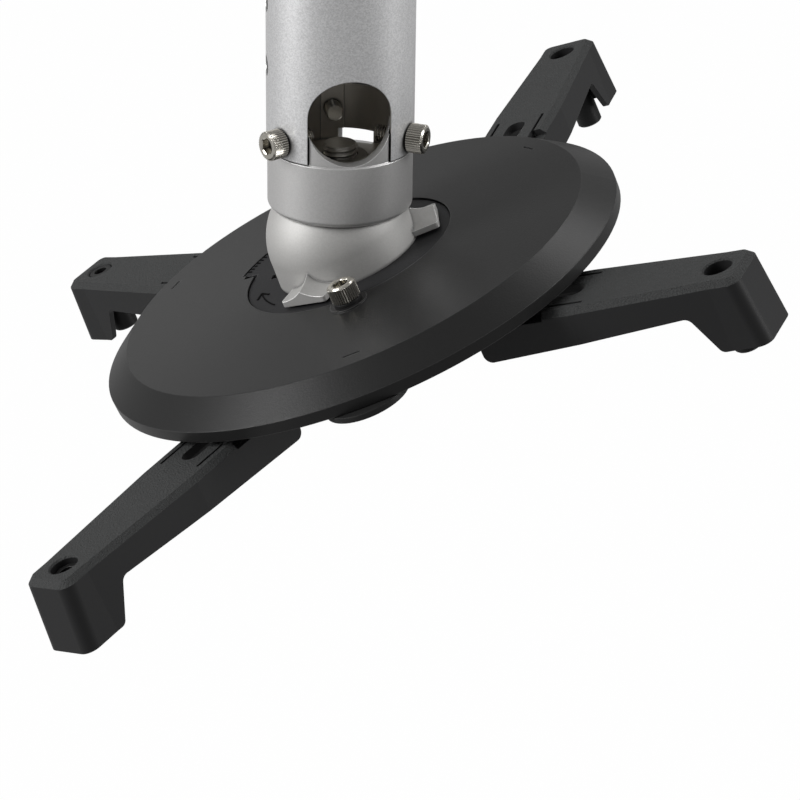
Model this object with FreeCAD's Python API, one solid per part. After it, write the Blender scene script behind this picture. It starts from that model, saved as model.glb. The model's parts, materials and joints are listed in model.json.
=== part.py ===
import FreeCAD, Part
import math
import os

V = FreeCAD.Vector
UP = V(0, 0, 1)
os.makedirs("parts", exist_ok=True)

# Projector ceiling mount. Millimetres, +Z up.
# Origin: the middle of the ceiling plate's top face, where it meets the ceiling.
# The pole stands on Z. The ball joint's centre is ball_drop below the ceiling.
# Pole pieces are drawn about the ball centre, and so are the head's, along the head's own axis.

# Clearances
running_gap = 0.05
seat_gap = 0.3
screw_gap = 0.3
head_way = 9.0

# Ceiling plate
plate_radius = 60.0
plate_thickness = 5.0
plate_hole_circle = 96.0
plate_hole_diameter = 7.0
plate_hole_count = 4
plate_edge_round = 1.5
boss_radius = 29.0
boss_length = 24.0
boss_root_round = 4.0
rib_count = 4
rib_thickness = 4.0
rib_reach = 48.0
cable_hole_radius = 18.0

# Pole
pole_outer_radius = 25.0
pole_wall = 2.3
inner_pole_wall = 2.5
pole_top_gap = 3.0
pole_length = 170.0
inner_pole_foot = 97.3
height_travel = 60.0
height_hole_azimuth = 8.0
height_hole_diameter = 7.0
height_hole_pitch = 22.3
height_hole_first = 62.5
height_hole_count = 6
height_bolt_diameter = 6.0

# Window at the foot of the pole
window_azimuth = -81.5
window_half_width = 14.0
window_top = 64.3
tongue_side_gap = 0.6
tongue_step = 0.4
tongue_scoop_radius = 14.2
tongue_scoop_height = 48.5
tongue_top = 46.0

# Collar, heights above the ball centre
collar_bottom = 12.4
collar_step = 0.35
collar_edge = 0.4
collar_seam = 34.0
seam_gap = 0.3
collar_floor = 28.0
collar_bore_radius = 20.0
collar_edge_round = 1.8
spigot_top = 48.0
leg_top = 58.0
leg_width = 8.0
leg_inner_radius = 19.4
collar_screw_tip = 13.2
collar_screw_height = 39.5
collar_screw_azimuths = (-142.0, -22.0, 98.0)
cable_slot_azimuth = 73.5
cable_slot_width = 12.5
cable_slot_floor = 25.8
cable_slot_top = 31.8

# Ball joint
ball_radius = 25.2
dome_wall = 2.8
liner_wall = 1.05
clamp_cup_wall = 3.2
clamp_cup_reach = 72.0
clamp_cup_boss_radius = 11.0
clamp_cup_boss_face = 12.0
tilt_limit = 24.0
rest_tilt = 23.12
hole_margin = 0.5
clamp_thread_diameter = 12.0
clamp_shank_diameter = 10.0
clamp_bolt_top = 34.0
clamp_bolt_end = 2.0
clamp_ring_radius = 9.5
clamp_ring_height = 2.0
clamp_nut_flats = 17.0
clamp_nut_height = 8.0

# Dome's foot and bayonet, heights along the head's axis from the ball centre
dome_foot_radius = 25.7
dome_neck_radius = 25.0
recess_floor = -8.3
bayonet_thickness = 3.0
lug_height = 2.6
lug_radius = 31.0
lug_half_angle = 5.5
lug_play = 1.0
bayonet_turn = 58.0
ear_azimuths = (-118.0, 2.0, 122.0)
ear_half_width = 8.9
ear_reach = 33.6
ear_top = -0.2
ear_clearance = 0.3
ear_side_top = -5.3
ear_corner_round = 1.2
ear_dish_near = (23.0, 8.4)
ear_dish_far = (36.0, 17.3)
stop_notch_azimuth = 165.0
stop_notch_radius = 30.0
stop_notch_half_angle = 3.5

# Disc cover
disc_hole_radius = 37.7
disc_land = -7.6
disc_slope_end = -10.27
disc_ring_radius = 84.45
disc_rim_radius = 94.5
disc_rim_top = -17.7
disc_rim_bottom = -21.72
disc_wall = 2.2
disc_key_radius = 43.5
disc_key_azimuth = 143.5
disc_key_half_angle = 13.5
disc_notch_radius = 42.0
disc_notch_azimuth = 158.8
disc_notch_half_angle = 1.8
mark_inset = 6.45
mark_length = 6.0
mark_width = 1.0
mark_depth = 0.4
post_azimuths = (-90.0, 30.0, 150.0)
post_radius = 3.0

# Bayonet ring under the disc
bayonet_outer_radius = 47.5
leg_post_azimuths = (-30.0, 90.0, 210.0)
leg_post_distance = 38.0
leg_post_radius = 5.0
lock_screw_azimuth = -90.0
lock_screw_distance = 40.5
lock_pad_radius = 6.6
lock_pad_top = -7.5
lock_washer_radius = 4.9
lock_washer_thickness = 1.2
lock_screw_length = 14.0
lock_boss_radius = 5.5
lock_boss_length = 8.0

# Hub plate under the disc
hub_top = -22.0
hub_thickness = 2.0
hub_inset = 6.5
hub_hole_radius = 22.0
lobe_inset = 10.5
lobe_radius = 14.5
hub_screw_head_radius = 5.5

# Fasteners
cap_head_radius = 5.0
cap_head_height = 6.0
cap_thread_diameter = 6.0
cap_socket_flats = 5.0
cap_socket_depth = 3.2
cap_edge = 0.5
nut_flats = 10.0
nut_height = 5.0
washer_thickness = 1.5
washer_radius = 9.0

# Arms, measured from the tip hole inwards and down from the flat top
front_bolt = (47.72, -53.18)
rear_bolt_inset = 15.93
rear_bolt_azimuth = 54.17
arm_poses = {
    "a": (-1, "front", 112.5, -132.6),
    "b": (-1, "rear", 86.6, 137.7),
    "c": (1, "rear", 103.8, 69.6),
    "d": (1, "front", 102.1, -26.6),
}
arm_stretch = {"a": 5.0, "b": -5.0, "c": 5.0, "d": -5.0}
arm_tip_half_width = 11.0
arm_mid_half_width = 12.5
arm_mid_distance = 25.0
arm_half_width = 14.0
arm_full_distance = 50.0
arm_wall = 2.2
arm_top_wall = 3.0
arm_chamfer = 2.0
arm_end = 10.0
arm_end_flare = 3.2
arm_leg_depth = 25.0
arm_leg_top = (10.5, 11.0)
arm_leg_foot = 3.5
arm_knee_depth = 12.5
arm_knee_distance = 40.0
arm_root_depth = 15.0
arm_root_distance = 91.5
arm_root_round = 3.0
arm_corner_round = 4.5
arm_leg_round = 3.0
arm_foot_round = 2.4
arm_slot_start = 54.0
arm_slot_end = 116.0
arm_slot_half_width = 3.6
arm_slit_start = 51.0
arm_slit_offset = 9.2
arm_slit_width = 1.1
arm_slit_depth = 2.2
arm_rail_end = 65.0
arm_step_depth = 2.6
arm_shoulder_depth = 5.0
tip_hole_diameter = 9.6
tip_hole_chamfer = 0.6
guide_radius = 6.5
guide_depth = 11.0
spacer_bore_diameter = 5.2
spacer_length = 24.5
spacer_drop = {"a": 2.5, "b": 0.5, "c": 6.5, "d": 5.5}
arm_washer_radius = 8.0

# Sizes worked out from the ones above
pole_inner_radius = pole_outer_radius - pole_wall
inner_pole_radius = pole_inner_radius - running_gap
pole_top = collar_seam + seam_gap + pole_length
boss_bottom = pole_top + pole_top_gap
ball_drop = boss_bottom + boss_length + plate_thickness
plate_underside = ball_drop - plate_thickness
collar_radius = pole_outer_radius - collar_step
window_arch_centre = window_top - window_half_width
height_bolt_level = height_hole_first + height_hole_pitch * (height_hole_count - 1)
collar_seat_radius = ball_radius + running_gap
dome_inner_radius = ball_radius - dome_wall
liner_radius = dome_inner_radius - running_gap
liner_inner_radius = liner_radius - liner_wall
clamp_cup_radius = liner_inner_radius - running_gap
shank_half_angle = math.degrees(math.asin(clamp_shank_diameter / 2 / dome_inner_radius))
liner_half_angle = math.degrees(math.asin(clamp_shank_diameter / 2 / liner_inner_radius))
dome_hole_angle = tilt_limit + shank_half_angle + hole_margin
liner_hole_angle = tilt_limit + liner_half_angle + hole_margin
bayonet_bottom = recess_floor - bayonet_thickness
ear_bottom = disc_land + ear_clearance
lug_azimuths = [azimuth + bayonet_turn for azimuth in ear_azimuths]
mark_radius = disc_ring_radius - mark_inset
hub_radius = disc_rim_radius - hub_inset
lobe_distance = disc_rim_radius - lobe_inset
rear_bolt = (disc_rim_radius - rear_bolt_inset, rear_bolt_azimuth)
bolt_rows = {"front": front_bolt, "rear": rear_bolt}
arm_tongue_half_width = arm_slit_offset - arm_slit_width / 2
dome_bottom = bayonet_bottom - lug_height
arm_top = hub_top - hub_thickness - running_gap


def cylinder(radius, bottom, top, x=0.0, y=0.0):
    return Part.makeCylinder(radius, top - bottom, V(x, y, bottom))


def pipe(outer, inner, bottom, top, x=0.0, y=0.0):
    return cylinder(outer, bottom, top, x, y).cut(cylinder(inner, bottom - 1, top + 1, x, y))


def edges_near(shape, test):
    return [e for e in shape.Edges if test(e.CenterOfMass, e.BoundBox)]


def polar(radius, azimuth, height=0.0):
    angle = math.radians(azimuth)
    return V(radius * math.cos(angle), radius * math.sin(angle), height)


def on_sphere(radius, angle):
    turn = math.radians(angle)
    return (radius * math.sin(turn), radius * math.cos(turn))


def outline(start, steps):
    # A step of one point is a straight edge, and a step of two is an arc by its middle and end.
    here = V(start[0], 0, start[1])
    first = here
    edges = []
    for step in steps:
        if isinstance(step[0], tuple):
            middle = V(step[0][0], 0, step[0][1])
            end = V(step[1][0], 0, step[1][1])
            edges.append(Part.Arc(here, middle, end).toShape())
        else:
            end = V(step[0], 0, step[1])
            edges.append(Part.LineSegment(here, end).toShape())
        here = end
    if here.distanceToPoint(first) > 1e-6:
        edges.append(Part.LineSegment(here, first).toShape())
    return Part.Face(Part.Wire(edges))


def turned(start, steps):
    return outline(start, steps).revolve(V(0, 0, 0), UP, 360)


def wedge(outer, bottom, top, azimuth, half_angle, inner=0.0):
    # A slice of a disc, half_angle to each side of azimuth.
    slice_solid = Part.makeCylinder(outer, top - bottom, V(0, 0, bottom), UP, 2 * half_angle)
    slice_solid.rotate(V(0, 0, 0), UP, azimuth - half_angle)
    if inner > 0:
        slice_solid = slice_solid.cut(cylinder(inner, bottom - 1, top + 1))
    return slice_solid


def block(x0, x1, y0, y1, z0, z1):
    return Part.makeBox(x1 - x0, y1 - y0, z1 - z0, V(x0, y0, z0))


def turned_to(shape, azimuth):
    shape.rotate(V(0, 0, 0), UP, azimuth)
    return shape


def hexagon(flats, bottom, top):
    corner = flats / 2 / math.cos(math.radians(30))
    points = [polar(corner, 60 * k, bottom) for k in range(7)]
    face = Part.Face(Part.makePolygon(points))
    return face.extrude(V(0, 0, top - bottom))


def hex_nut(flats, height, bore):
    corner = flats / 2 / math.cos(math.radians(30))
    nut = hexagon(flats, 0, height)
    crown = Part.makeCone(corner + height, corner - cap_edge, height + cap_edge, V(0, 0, 0))
    nut = nut.common(crown)
    return nut.cut(cylinder(bore / 2, -1, height + 1))


def cap_screw(length):
    # Socket head cap screw: the head stands on z = 0 and the shank hangs below.
    head = cylinder(cap_head_radius, 0, cap_head_height)
    rim = [edge for edge in head.Edges if abs(edge.BoundBox.ZMin - cap_head_height) < 1e-6]
    head = head.makeChamfer(cap_edge, rim)
    socket_bottom = cap_head_height - cap_socket_depth
    head = head.cut(hexagon(cap_socket_flats, socket_bottom, cap_head_height + 1))
    shank = cylinder(cap_thread_diameter / 2, -length, 0)
    return head.fuse(shank).removeSplitter()


def aimed(shape, place, direction):
    # Turns a shape drawn along Z so that its Z points along direction, and moves it to place.
    rotation = FreeCAD.Rotation(UP, direction)
    shape.Placement = FreeCAD.Placement(place, rotation)
    return shape


def radial_screw(head_radius, azimuth, height, tip_radius):
    screw = cap_screw(head_radius - tip_radius)
    return aimed(screw, polar(head_radius, azimuth, height), polar(1, azimuth))


def radial_hole(radius, azimuth, height, inner, outer):
    return Part.makeCylinder(radius, outer - inner, polar(inner, azimuth, height), polar(1, azimuth))


def washer(outer, bore, thickness):
    return pipe(outer, bore / 2, 0, thickness)


def from_ball(shape):
    shape.translate(V(0, 0, -ball_drop))
    return shape


def from_head(shape):
    shape.rotate(V(0, 0, 0), V(0, 1, 0), -rest_tilt)
    return from_ball(shape)


def save(name, shape):
    solids = shape.Solids
    result = solids[0] if len(solids) == 1 else Part.makeCompound(solids)
    result.exportStep("parts/" + name + ".step")


# Ceiling plate with its boss, where the inner pole is held

plate_screw_azimuths = (45.0, 165.0, 285.0)
plate_screw_level = boss_bottom + boss_length / 2
plate_screw_seat = boss_radius - 0.6


def ceiling_plate():
    plate = cylinder(plate_radius, plate_underside, ball_drop)
    lower = [e for e in plate.Edges if abs(e.BoundBox.ZMax - plate_underside) < 1e-6]
    plate = plate.makeFillet(plate_edge_round, lower)
    boss = turned((0, boss_bottom), [
        (boss_radius, boss_bottom),
        (boss_radius, plate_underside - boss_root_round),
        ((boss_radius + boss_root_round * 0.293, plate_underside - boss_root_round * 0.293),
         (boss_radius + boss_root_round, plate_underside)),
        (boss_radius + boss_root_round, plate_underside + 1),
        (0, plate_underside + 1),
    ])
    body = plate.fuse(boss)
    for k in range(rib_count):
        rib = outline((boss_radius - 1, plate_underside + 1), [
            (rib_reach, plate_underside + 1),
            (rib_reach, plate_underside - 1),
            (boss_radius - 1, boss_bottom + boss_length / 4),
        ]).extrude(V(0, rib_thickness, 0))
        rib.translate(V(0, -rib_thickness / 2, 0))
        body = body.fuse(turned_to(rib, 360 / rib_count * k))
    body = body.cut(cylinder(inner_pole_radius + running_gap, boss_bottom - 1, plate_underside))
    body = body.cut(cylinder(cable_hole_radius, plate_underside - 1, ball_drop + 1))
    for k in range(plate_hole_count):
        place = polar(plate_hole_circle / 2, 45 + 360 / plate_hole_count * k)
        body = body.cut(cylinder(plate_hole_diameter / 2, plate_underside - 1, ball_drop + 1,
                                 place.x, place.y))
    for azimuth in plate_screw_azimuths:
        body = body.cut(radial_hole(cap_thread_diameter / 2 + running_gap, azimuth,
                                    plate_screw_level, inner_pole_radius - 1, boss_radius + head_way))
        body = body.cut(radial_hole(cap_head_radius + screw_gap, azimuth, plate_screw_level,
                                    plate_screw_seat, boss_radius + head_way))
    return body.removeSplitter()


def plate_screws():
    screws = [radial_screw(plate_screw_seat, a, plate_screw_level, inner_pole_radius)
              for a in plate_screw_azimuths]
    return Part.makeCompound(screws)


# Telescoping pole

def inner_pole():
    tube = pipe(inner_pole_radius, inner_pole_radius - inner_pole_wall, inner_pole_foot,
                plate_underside)
    slot_radius = height_bolt_diameter / 2 + running_gap
    low = height_bolt_level - height_travel
    high = height_bolt_level
    reach = pole_outer_radius
    slot = block(-reach, reach, -slot_radius, slot_radius, low, high)
    for level in (low, high):
        slot = slot.fuse(Part.makeCylinder(slot_radius, 2 * reach, V(-reach, 0, level), V(1, 0, 0)))
    return tube.cut(turned_to(slot, height_hole_azimuth))


def window_cut(half_width, bottom):
    # The pole's window: straight sides, open below, under a round arch.
    reach = pole_outer_radius + 5
    sides = block(0, reach, -half_width, half_width, bottom, window_arch_centre)
    arch = Part.makeCylinder(half_width, reach, V(0, 0, window_arch_centre), V(1, 0, 0))
    return turned_to(sides.fuse(arch), window_azimuth)


def outer_pole():
    bottom = collar_seam + seam_gap
    tube = pipe(pole_outer_radius, pole_inner_radius, bottom, pole_top)
    tube = tube.cut(window_cut(window_half_width, bottom - 1))
    for azimuth in collar_screw_azimuths:
        tube = tube.cut(radial_hole(cap_thread_diameter / 2 + screw_gap, azimuth,
                                    collar_screw_height, leg_inner_radius, pole_outer_radius + 1))
    for k in range(height_hole_count):
        level = height_hole_first + height_hole_pitch * k
        start = V(-pole_outer_radius - 1, 0, level)
        hole = Part.makeCylinder(height_hole_diameter / 2, 2 * pole_outer_radius + 2, start,
                                 V(1, 0, 0))
        tube = tube.cut(turned_to(hole, height_hole_azimuth))
    return tube


def on_height_line(shape, side, distance):
    # Sets a piece drawn along Z on the height bolt's line, on one side of the pole.
    outward = polar(side, height_hole_azimuth)
    place = outward * distance + V(0, 0, height_bolt_level)
    return aimed(shape, place, outward)


def height_bolt():
    seat = pole_outer_radius + washer_thickness
    screw = cap_screw(2 * seat + nut_height + 2)
    return on_height_line(screw, -1, seat)


def height_washers():
    pair = []
    for side in (-1, 1):
        ring = washer(washer_radius, height_bolt_diameter + 2 * running_gap, washer_thickness)
        pair.append(on_height_line(ring, side, pole_outer_radius))
    return Part.makeCompound(pair)


def height_nut():
    seat = pole_outer_radius + washer_thickness
    nut = hex_nut(nut_flats, nut_height, height_bolt_diameter + 2 * running_gap)
    return on_height_line(nut, 1, seat)


# Collar: a casting that plugs into the pole and holds the ball joint

def collar():
    lip_radius = math.sqrt(collar_seat_radius ** 2 - collar_bottom ** 2)
    bend = collar_edge_round * (1 - math.sqrt(0.5))
    shell = turned((0, collar_bottom), [
        (collar_radius - collar_edge_round, collar_bottom),
        ((collar_radius - bend, collar_bottom + bend),
         (collar_radius, collar_bottom + collar_edge_round)),
        (collar_radius, collar_seam - collar_edge),
        (collar_radius - collar_edge, collar_seam),
        (0, collar_seam),
    ])
    spigot = pipe(pole_inner_radius - running_gap, collar_bore_radius, collar_seam - 1, spigot_top)
    side = window_half_width - tongue_side_gap
    tongue = pipe(collar_radius - tongue_step, collar_bore_radius, collar_seam - 1, tongue_top)
    tongue = tongue.common(turned_to(block(0, pole_outer_radius + 1, -side, side,
                                           collar_seam - 1, tongue_top), window_azimuth))
    body = shell.fuse(spigot).fuse(tongue)
    body = body.cut(cylinder(collar_bore_radius, collar_floor, leg_top + 1))
    scoop = Part.makeCylinder(tongue_scoop_radius, pole_outer_radius + 5,
                              V(0, 0, tongue_scoop_height), V(1, 0, 0))
    body = body.cut(turned_to(scoop, window_azimuth))
    for azimuth in collar_screw_azimuths:
        leg = block(leg_inner_radius, pole_outer_radius, -leg_width / 2, leg_width / 2,
                    collar_floor - 1, leg_top)
        leg = leg.common(cylinder(pole_inner_radius - running_gap, collar_floor - 1, leg_top))
        body = body.fuse(turned_to(leg, azimuth))
    for azimuth in collar_screw_azimuths:
        body = body.cut(radial_hole(cap_thread_diameter / 2 + running_gap, azimuth,
                                    collar_screw_height, leg_inner_radius - 1, pole_outer_radius))
    body = body.cut(Part.makeSphere(collar_seat_radius))
    body = body.cut(cylinder(lip_radius, collar_bottom - 1, collar_bottom))
    body = body.cut(cylinder(clamp_thread_diameter / 2 + running_gap, 0, collar_floor + 1))
    cable_slot = block(collar_bore_radius - 3, pole_outer_radius + 1, -cable_slot_width / 2,
                       cable_slot_width / 2, cable_slot_floor, cable_slot_top)
    body = body.cut(turned_to(cable_slot, cable_slot_azimuth))
    return body.removeSplitter()


def collar_screws():
    screws = [radial_screw(pole_outer_radius, a, collar_screw_height, collar_screw_tip)
              for a in collar_screw_azimuths]
    return Part.makeCompound(screws)


# Clamp inside the ball: it swivels about the pole's axis

def clamp_bolt():
    thread = cylinder(clamp_thread_diameter / 2, dome_inner_radius + dome_wall, clamp_bolt_top)
    top = [e for e in thread.Edges if abs(e.BoundBox.ZMin - clamp_bolt_top) < 1e-6]
    thread = thread.makeChamfer(cap_edge, top)
    shank = cylinder(clamp_shank_diameter / 2, clamp_bolt_end, clamp_bolt_top - 1)
    return thread.fuse(shank).removeSplitter()


def clamp_ring():
    ring = pipe(clamp_ring_radius, clamp_thread_diameter / 2 + running_gap, collar_floor,
                collar_floor + clamp_ring_height)
    rim = [e for e in ring.Edges if abs(e.BoundBox.ZMin - collar_floor - clamp_ring_height) < 1e-6
           and e.BoundBox.XLength > 2 * clamp_ring_radius - 1]
    return ring.makeChamfer(cap_edge, rim)


def spherical_shell(outer, inner, hole_angle, skirt):
    # A dome shell whose top has a round hole and whose wall runs straight down to skirt.
    middle = (hole_angle + 90) / 2
    return turned(on_sphere(outer, hole_angle), [
        (on_sphere(outer, middle), (outer, 0)),
        (outer, skirt),
        (inner, skirt),
        (inner, 0),
        (on_sphere(inner, middle), on_sphere(inner, hole_angle)),
    ])


def friction_liner():
    return spherical_shell(liner_radius, liner_inner_radius, liner_hole_angle, -2.0)


def clamp_cup():
    hole = clamp_shank_diameter / 2 + running_gap
    inner = clamp_cup_radius - clamp_cup_wall
    top_angle = math.degrees(math.asin(hole / clamp_cup_radius))
    boss_angle = math.degrees(math.asin(clamp_cup_boss_radius / inner))
    return turned(on_sphere(clamp_cup_radius, top_angle), [
        (on_sphere(clamp_cup_radius, (top_angle + clamp_cup_reach) / 2),
         on_sphere(clamp_cup_radius, clamp_cup_reach)),
        on_sphere(inner, clamp_cup_reach),
        (on_sphere(inner, (boss_angle + clamp_cup_reach) / 2), on_sphere(inner, boss_angle)),
        (clamp_cup_boss_radius, clamp_cup_boss_face),
        (hole, clamp_cup_boss_face),
    ])


def clamp_nut():
    nut = hex_nut(clamp_nut_flats, clamp_nut_height, clamp_shank_diameter + 2 * running_gap)
    return aimed(nut, V(0, 0, clamp_cup_boss_face), V(0, 0, -1))


# Head: dome, bayonet, disc and hub, drawn along the head's axis

def ear_dish(side):
    # The scoop in one side of a grip: it widens outwards along the grip.
    rings = []
    for reach, radius in (ear_dish_near, ear_dish_far):
        centre = V(reach, side * ear_half_width, ear_side_top + radius)
        rings.append(Part.Wire(Part.makeCircle(radius, centre, V(1, 0, 0))))
    return Part.makeLoft(rings, True, True)


def ear(azimuth):
    # A grip of the dome: a ridge with a dished side to its left and right.
    body = block(dome_inner_radius + 1, ear_reach, -ear_half_width, ear_half_width,
                 ear_bottom, ear_top)
    corners = edges_near(body, lambda c, b: c.x > ear_reach - 0.1 and b.ZLength > 1)
    body = body.makeFillet(ear_corner_round, corners)
    for side in (-1, 1):
        body = body.cut(ear_dish(side))
    return turned_to(body, azimuth)


def dome():
    middle = (dome_hole_angle + 90) / 2
    body = turned(on_sphere(ball_radius, dome_hole_angle), [
        (on_sphere(ball_radius, middle), (ball_radius, 0)),
        (dome_foot_radius, recess_floor),
        (dome_neck_radius, recess_floor),
        (dome_neck_radius, dome_bottom),
        (dome_inner_radius, dome_bottom),
        (dome_inner_radius, 0),
        (on_sphere(dome_inner_radius, middle), on_sphere(dome_inner_radius, dome_hole_angle)),
    ])
    for azimuth in ear_azimuths:
        body = body.fuse(ear(azimuth))
    for azimuth in lug_azimuths:
        lug = wedge(lug_radius, dome_bottom, bayonet_bottom, azimuth, lug_half_angle,
                    dome_inner_radius + 1)
        body = body.fuse(lug)
    body = body.cut(cylinder(dome_inner_radius, dome_bottom - 1, 0))
    return body.removeSplitter()


def bayonet_ring():
    shelf = disc_slope(bayonet_outer_radius) - disc_wall
    step = disc_hole_radius - seat_gap
    body = turned((dome_neck_radius + running_gap, recess_floor), [
        (step, recess_floor),
        (step, shelf),
        (bayonet_outer_radius, shelf),
        (bayonet_outer_radius, bayonet_bottom),
        (dome_neck_radius + running_gap, bayonet_bottom),
    ])
    key_play = math.degrees(seat_gap / disc_hole_radius)
    body = body.fuse(wedge(disc_key_radius - seat_gap, shelf - 1, recess_floor, disc_key_azimuth,
                           disc_key_half_angle - key_play, step - 1))
    for azimuth in leg_post_azimuths:
        place = polar(leg_post_distance, azimuth)
        body = body.fuse(cylinder(leg_post_radius, hub_top, bayonet_bottom + 1, place.x, place.y))
    boss = polar(lock_screw_distance, lock_screw_azimuth)
    body = body.fuse(cylinder(lock_boss_radius, bayonet_bottom - lock_boss_length,
                              bayonet_bottom + 1, boss.x, boss.y))
    body = body.cut(cylinder(cap_thread_diameter / 2 + running_gap, hub_top, recess_floor + 1,
                             boss.x, boss.y))
    for azimuth in leg_post_azimuths:
        place = polar(leg_post_distance, azimuth)
        body = body.cut(cylinder(cap_thread_diameter / 2 + running_gap, hub_top - 1,
                                 bayonet_bottom - 1, place.x, place.y))
    for azimuth in ear_azimuths:
        entry = wedge(lug_radius + screw_gap, bayonet_bottom - 1, recess_floor + 1, azimuth,
                      lug_half_angle + lug_play)
        body = body.cut(entry)
    body = body.cut(wedge(stop_notch_radius, bayonet_bottom - 1, recess_floor + 1,
                          stop_notch_azimuth, stop_notch_half_angle))
    return body.removeSplitter()


def disc_slope(radius):
    # Height of the disc's top at a distance from its axis, inside the ring line.
    share = (radius - disc_hole_radius) / (disc_ring_radius - disc_hole_radius)
    return disc_land + (disc_slope_end - disc_land) * share


def disc_cover():
    lip = 1.6
    body = turned((disc_hole_radius, disc_land), [
        (disc_ring_radius, disc_slope_end),
        (disc_rim_radius, disc_rim_top),
        (disc_rim_radius - 0.1, disc_rim_bottom),
        (disc_rim_radius - lip, disc_rim_bottom),
        (disc_rim_radius - disc_wall, disc_rim_top - 0.6),
        (disc_ring_radius - 0.8, disc_slope_end - disc_wall),
        (disc_hole_radius, disc_land - disc_wall),
    ])
    pad = polar(lock_screw_distance, lock_screw_azimuth)
    body = body.fuse(cylinder(lock_pad_radius, lock_pad_top - 1, lock_pad_top, pad.x, pad.y))
    body = body.cut(cylinder(disc_hole_radius, disc_rim_bottom, 0))
    for azimuth in post_azimuths:
        place = polar(mark_radius, azimuth)
        body = body.fuse(cylinder(post_radius, hub_top, disc_slope(mark_radius) - disc_wall / 2,
                                  place.x, place.y))
    body = body.cut(cylinder(cap_thread_diameter / 2 + screw_gap, bayonet_bottom, 0, pad.x, pad.y))
    body = body.cut(wedge(disc_key_radius, disc_rim_bottom, 0, disc_key_azimuth,
                          disc_key_half_angle))
    body = body.cut(wedge(disc_notch_radius, disc_rim_bottom, 0, disc_notch_azimuth,
                          disc_notch_half_angle))
    for azimuth in post_azimuths:
        top = disc_slope(mark_radius)
        mark = block(mark_radius - mark_width / 2, mark_radius + mark_width / 2,
                     -mark_length / 2, mark_length / 2, top - mark_depth, top + 1)
        body = body.cut(turned_to(mark, azimuth))
    return body.removeSplitter()


def lock_washer():
    ring = washer(lock_washer_radius, cap_thread_diameter + 2 * running_gap, lock_washer_thickness)
    ring.translate(polar(lock_screw_distance, lock_screw_azimuth, lock_pad_top))
    return ring


def lock_screw():
    screw = cap_screw(lock_screw_length)
    screw.translate(polar(lock_screw_distance, lock_screw_azimuth,
                          lock_pad_top + lock_washer_thickness))
    return screw


def bolt_place(name):
    side, row, reach, azimuth = arm_poses[name]
    distance, bolt_azimuth = bolt_rows[row]
    place = polar(distance, bolt_azimuth)
    return V(side * place.x, place.y, 0)


def hub_plate():
    bottom = hub_top - hub_thickness
    body = cylinder(hub_radius, bottom, hub_top)
    for azimuth in post_azimuths:
        place = polar(lobe_distance, azimuth)
        body = body.fuse(cylinder(lobe_radius, bottom, hub_top, place.x, place.y))
    body = body.cut(cylinder(hub_hole_radius, bottom - 1, hub_top + 1))
    for name in arm_poses:
        place = bolt_place(name)
        body = body.cut(cylinder(cap_thread_diameter / 2 + running_gap, bottom - 1, hub_top + 1,
                                 place.x, place.y))
    for azimuth in leg_post_azimuths:
        place = polar(leg_post_distance, azimuth)
        sink = Part.makeCone(hub_screw_head_radius, cap_thread_diameter / 2 + running_gap,
                             hub_thickness, V(place.x, place.y, bottom))
        body = body.cut(sink)
    return body.removeSplitter()


def hub_screws():
    # Countersunk screws that hold the hub plate to the bayonet ring's posts.
    bottom = hub_top - hub_thickness
    screws = []
    for azimuth in leg_post_azimuths:
        place = polar(leg_post_distance, azimuth)
        head = Part.makeCone(hub_screw_head_radius - running_gap, cap_thread_diameter / 2,
                             hub_thickness, V(place.x, place.y, bottom))
        shank = cylinder(cap_thread_diameter / 2, bottom, bayonet_bottom - 2, place.x, place.y)
        screw = head.fuse(shank)
        socket = hexagon(cap_socket_flats - 1, bottom - 1, bottom + 1.2)
        socket.translate(V(place.x, place.y, 0))
        screws.append(screw.cut(socket).removeSplitter())
    return Part.makeCompound(screws)


def hub_nuts():
    nuts = []
    for name in arm_poses:
        nut = hex_nut(nut_flats, nut_height, cap_thread_diameter + 2 * running_gap)
        nut.translate(bolt_place(name) + V(0, 0, hub_top))
        nuts.append(nut)
    return Part.makeCompound(nuts)


# Arms: hollow mouldings, drawn from the tip hole along X towards the hub

def arm_plan(grow, start, end, bottom, top):
    # The arm seen from above, made smaller or larger all round by grow.
    tip = arm_tip_half_width + grow
    mid = arm_mid_half_width + grow
    full = arm_half_width + grow
    half = [(start, tip), (0, tip), (arm_mid_distance, mid), (arm_full_distance, full), (end, full)]
    points = [V(x, y, bottom) for x, y in half]
    points += [V(x, -y, bottom) for x, y in reversed(half)]
    points.append(points[0])
    return Part.Face(Part.makePolygon(points)).extrude(V(0, 0, top - bottom))


def arm_side(half_width, root):
    # The arm seen from the side: a leg at the tip and a beam that deepens towards the hub.
    face = outline((-arm_end, 0), [
        (root, 0),
        (root, -arm_root_depth),
        (arm_knee_distance, -arm_knee_depth),
        (arm_leg_top[0], -arm_leg_top[1]),
        (arm_leg_foot, -arm_leg_depth),
        (-arm_end - arm_end_flare, -arm_leg_depth),
    ])
    solid = face.extrude(V(0, 2 * half_width, 0))
    solid.translate(V(0, -half_width, 0))
    return solid


def cross_edge(shape, x, z):
    # The edge that runs across the arm at a corner of its side view.
    return edges_near(shape, lambda c, b: abs(c.x - x) < 0.1 and abs(c.z - z) < 0.1
                      and b.YLength > arm_tip_half_width)


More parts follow.
